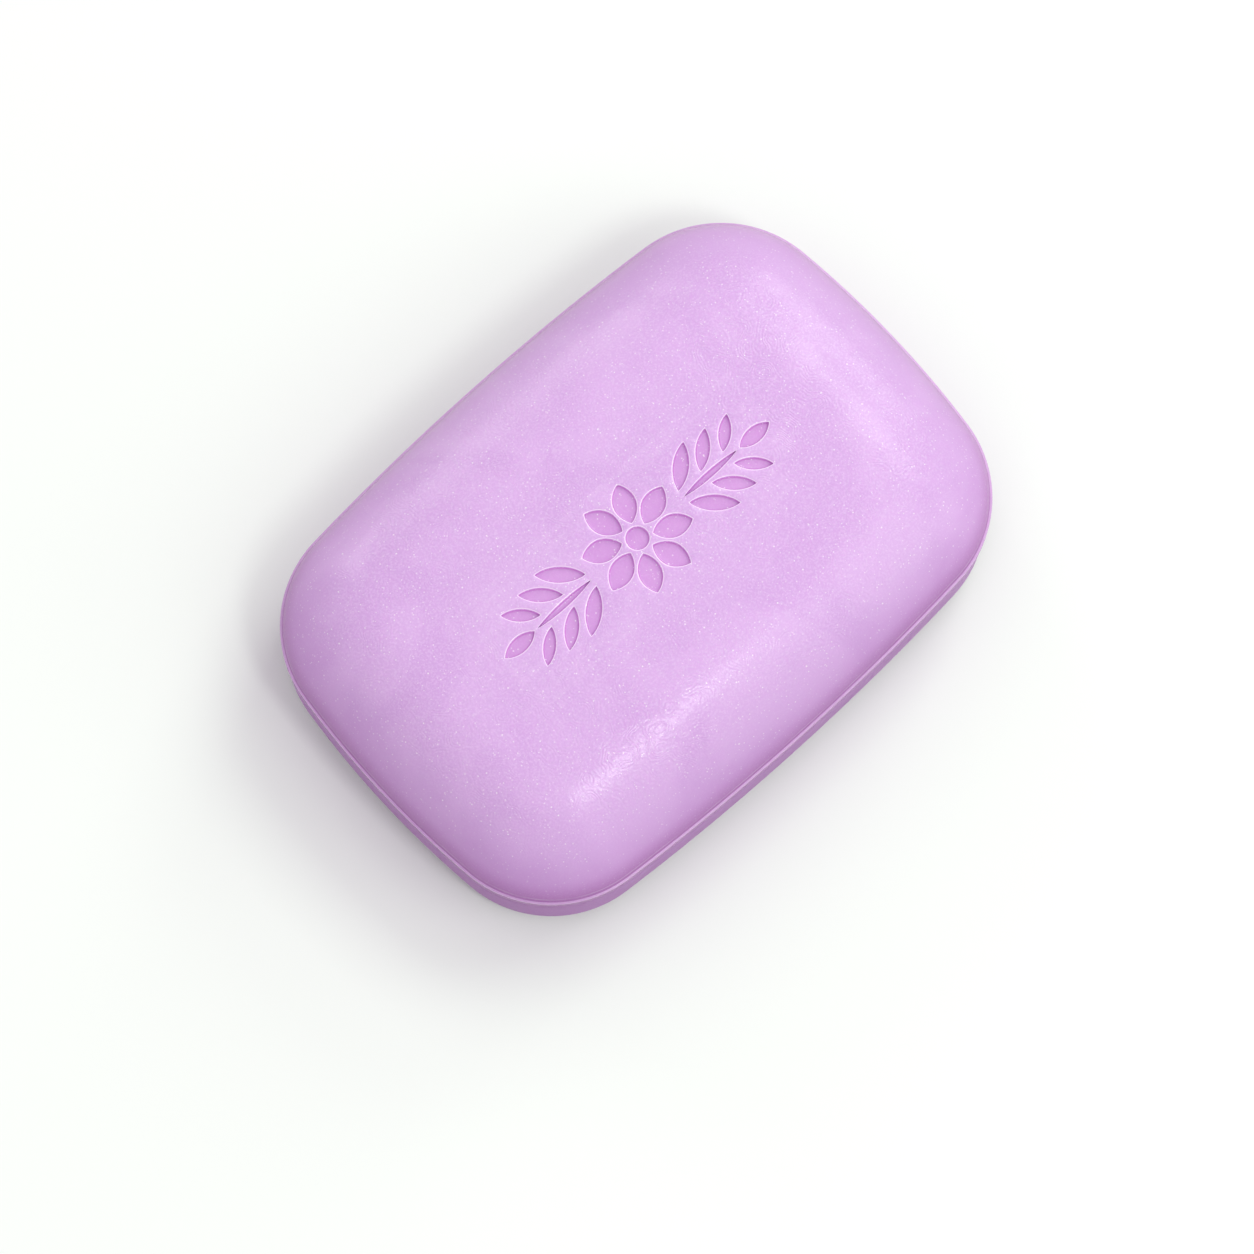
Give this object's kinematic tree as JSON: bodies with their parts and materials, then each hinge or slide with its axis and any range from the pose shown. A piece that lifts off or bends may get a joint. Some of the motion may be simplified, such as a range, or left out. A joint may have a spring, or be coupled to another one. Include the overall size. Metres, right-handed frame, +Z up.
{
  "type": "bar of soap",
  "caption": "Pillow-shaped stamped soap bar with a crowned top, a thin raised land round its girth, a flat base and a pressed-in rosette with leaf sprigs.",
  "frame": {"origin": "middle of the flat face that the bar rests on", "axes": "+X along the bar's length, +Y across its width, +Z up through the crown"},
  "size_m": [0.0902, 0.063, 0.027],
  "materials": {
    "soap": "satin, faintly pearly lilac with a fine pressed grain"
  },
  "bodies": {
    "root": {"soap_bar": "soap"}
  },
  "joints": []
}
